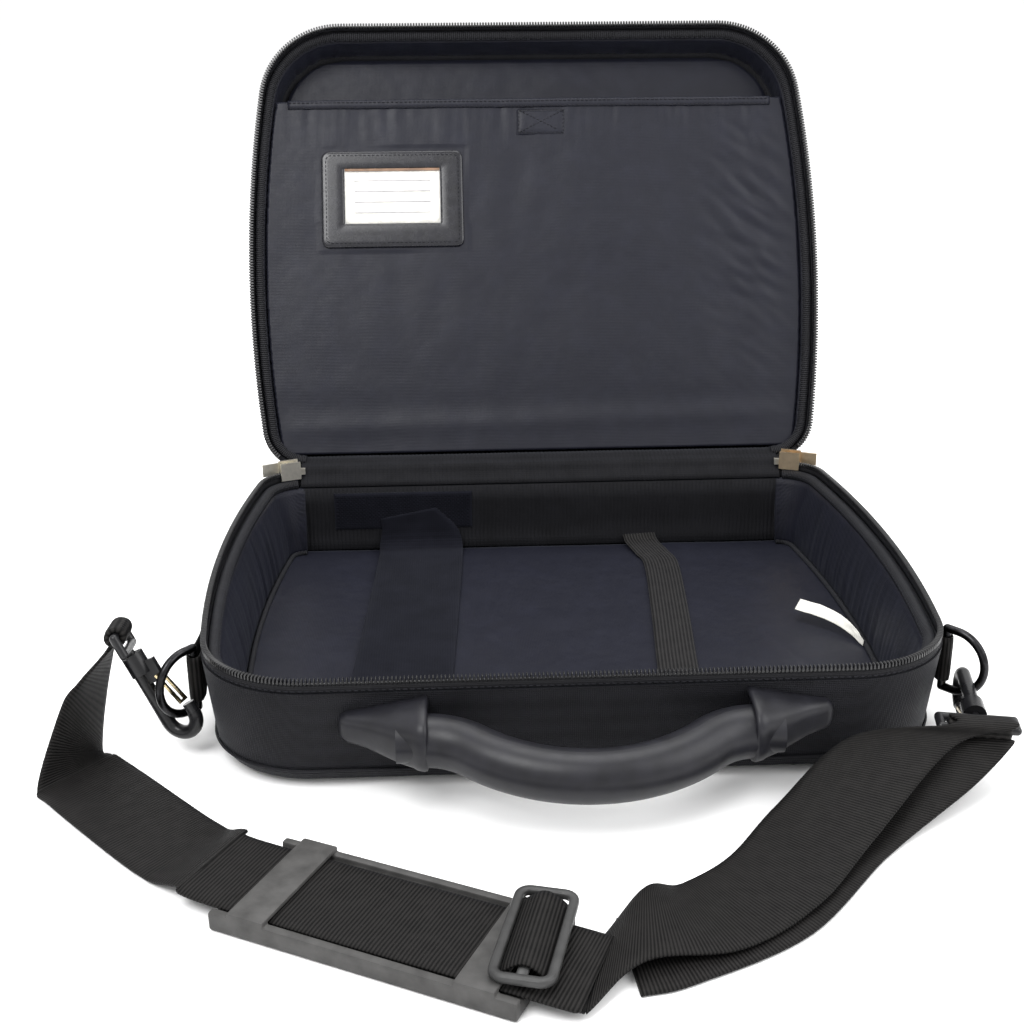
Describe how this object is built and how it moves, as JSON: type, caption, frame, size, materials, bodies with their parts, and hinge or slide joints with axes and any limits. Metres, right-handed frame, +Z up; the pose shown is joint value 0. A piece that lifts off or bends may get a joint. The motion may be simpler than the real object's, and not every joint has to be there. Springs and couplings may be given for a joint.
{
  "type": "zipped carry case",
  "caption": "Clamshell carry case shown open: zipped rim, padded tray with retaining straps, lid pocket, hinged handle and a clip-on shoulder strap with sliding pad.",
  "frame": {"origin": "centre of the flat face that the base stands on", "axes": "+Z up, +Y from the handle side towards the lid's hinge, +X to the right seen from the handle side"},
  "size_m": [0.4612, 0.6139, 0.3314],
  "materials": {
    "shell_nylon": "matt woven nylon over moulded foam",
    "lining_nylon": "smooth woven lining with a faint sheen",
    "wall_lining": "padded and gathered lining",
    "ribbed_fabric": "vertically ribbed",
    "binding_tape": "ribbed grosgrain",
    "zip_tape": "woven tape",
    "zip_coil": "moulded nylon coil",
    "zip_metal": "satin nickel",
    "zip_pull": "satin nickel, worn",
    "zip_stop": "bright",
    "handle_rubber": "semi-matt",
    "cap_plastic": "semi-matt moulded",
    "core_plastic": "moulded",
    "screw_steel": "plain",
    "plate_plastic": "moulded",
    "ring_metal": "black enamel",
    "hook_plastic": "moulded",
    "gate_wire": "drawn wire",
    "webbing": "heavy ribbed webbing",
    "pad_rubber": "matt",
    "buckle_plastic": "moulded",
    "elastic_webbing": "ribbed elastic",
    "hook_tape": "hook and loop pile",
    "tag_fabric": "printed-tape blank",
    "frame_vinyl": "glossy vinyl",
    "card": "card",
    "window_film": "clear film",
    "board": "stiff board"
  },
  "bodies": {
    "case": {"base_shell": "shell_nylon", "base_floor_board": "board", "base_floor_pad": "lining_nylon", "base_floor_piping": "lining_nylon", "base_hinge_panel": "ribbed_fabric", "base_hinge_strip": "ribbed_fabric", "base_rim_binding": "binding_tape", "base_wall_padding": "wall_lining", "base_zip_coil": "zip_coil", "base_zip_tape": "zip_tape", "zip_stops": "zip_stop", "handle_cap_left": "cap_plastic", "handle_cap_right": "cap_plastic", "handle_screws": "screw_steel", "handle_backing_plates": "plate_plastic", "d_ring_tab_left": "webbing", "d_ring_tab_right": "webbing", "swivel_eye_left": "hook_plastic", "swivel_eye_right": "hook_plastic", "strap_webbing_left": "webbing", "strap_webbing_upper": "webbing", "strap_webbing_return": "webbing", "strap_buckle": "buckle_plastic", "hook_loop_strap": "hook_tape", "elastic_strap": "elastic_webbing", "hook_patch": "hook_tape", "care_tag": "tag_fabric"},
    "lid": {"lid_shell": "shell_nylon", "lid_board": "board", "lid_hinge_strip": "ribbed_fabric", "lid_rim_binding": "binding_tape", "lid_wall_padding": "wall_lining", "lid_lining": "lining_nylon", "lid_pocket_panel": "lining_nylon", "lid_pocket_hem": "binding_tape", "lid_pocket_closure": "hook_tape", "lid_zip_coil": "zip_coil", "lid_zip_tape": "zip_tape", "label_frame": "frame_vinyl", "label_card": "card", "label_window": "window_film"},
    "handle": {"handle_grip": "handle_rubber", "handle_core": "core_plastic"},
    "slider_left": {"zip_slider_left": "zip_metal"},
    "pull_left": {"zip_pull_left": "zip_pull"},
    "ring_left": {"d_ring_left": "ring_metal"},
    "hook_left": {"snap_hook_left": "hook_plastic"},
    "gate_left": {"hook_gate_left": "gate_wire"},
    "slider_right": {"zip_slider_right": "zip_metal"},
    "pull_right": {"zip_pull_right": "zip_pull"},
    "ring_right": {"d_ring_right": "ring_metal"},
    "hook_right": {"snap_hook_right": "hook_plastic"},
    "gate_right": {"hook_gate_right": "gate_wire"},
    "pad": {"shoulder_pad": "pad_rubber"}
  },
  "joints": [
    {"name": "lid_hinge", "type": "hinge", "parent": "case", "child": "lid", "pos_m": [0, 0.15, 0.06], "axis": [1, 0, 0], "range_deg": [-60, 115]},
    {"name": "handle_swing", "type": "hinge", "parent": "case", "child": "handle", "pos_m": [0.002, -0.163, 0.034], "axis": [-1, 0, 0], "range_deg": [-20, 35]},
    {"name": "zip_slider_left", "type": "hinge", "parent": "case", "child": "slider_left", "pos_m": [-0.15448, 0.122, 0.06], "axis": [0, 0, 1], "range_deg": [0, 60]},
    {"name": "zip_slider_right", "type": "hinge", "parent": "case", "child": "slider_right", "pos_m": [0.15448, 0.122, 0.06], "axis": [0, 0, -1], "range_deg": [0, 60]},
    {"name": "zip_pull_left", "type": "hinge", "parent": "slider_left", "child": "pull_left", "pos_m": [-0.16632, 0.1513, 0.06], "axis": [0, 0, -1], "range_deg": [0, 25]},
    {"name": "zip_pull_right", "type": "hinge", "parent": "slider_right", "child": "pull_right", "pos_m": [0.16632, 0.1513, 0.06], "axis": [0, 0, 1], "range_deg": [0, 25]},
    {"name": "d_ring_left", "type": "hinge", "parent": "case", "child": "ring_left", "pos_m": [-0.1862, -0.1, 0.037], "axis": [0, 0, 1], "range_deg": [-5, 5]},
    {"name": "d_ring_right", "type": "hinge", "parent": "case", "child": "ring_right", "pos_m": [0.1862, -0.1, 0.037], "axis": [0, 0, 1], "range_deg": [-2, 5]},
    {"name": "snap_hook_left", "type": "hinge", "parent": "case", "child": "hook_left", "pos_m": [-0.21445, -0.10172, 0.04896], "axis": [0.4514, -0.1642, -0.8771], "range_deg": [-8, 8]},
    {"name": "snap_hook_right", "type": "hinge", "parent": "case", "child": "hook_right", "pos_m": [0.18712, -0.14251, 0.02847], "axis": [0.2, 0.9798, 0], "range_deg": [-8, 8]},
    {"name": "hook_gate_left", "type": "hinge", "parent": "hook_left", "child": "gate_left", "pos_m": [-0.20181, -0.10632, 0.04208], "axis": [-0.3419, -0.9397, 0], "range_deg": [0, 25], "stiffness_Nm_per_rad": 0.02, "springref_deg": -11.46},
    {"name": "hook_gate_right", "type": "hinge", "parent": "hook_right", "child": "gate_right", "pos_m": [0.18961, -0.13026, 0.01997], "axis": [-0.9798, 0.2, 0], "range_deg": [0, 25], "stiffness_Nm_per_rad": 0.02, "springref_deg": -11.46},
    {"name": "shoulder_pad_slide", "type": "slide", "parent": "case", "child": "pad", "axis": [0.8934, -0.4493, 0], "range_m": [-0.009, 0]}
  ]
}
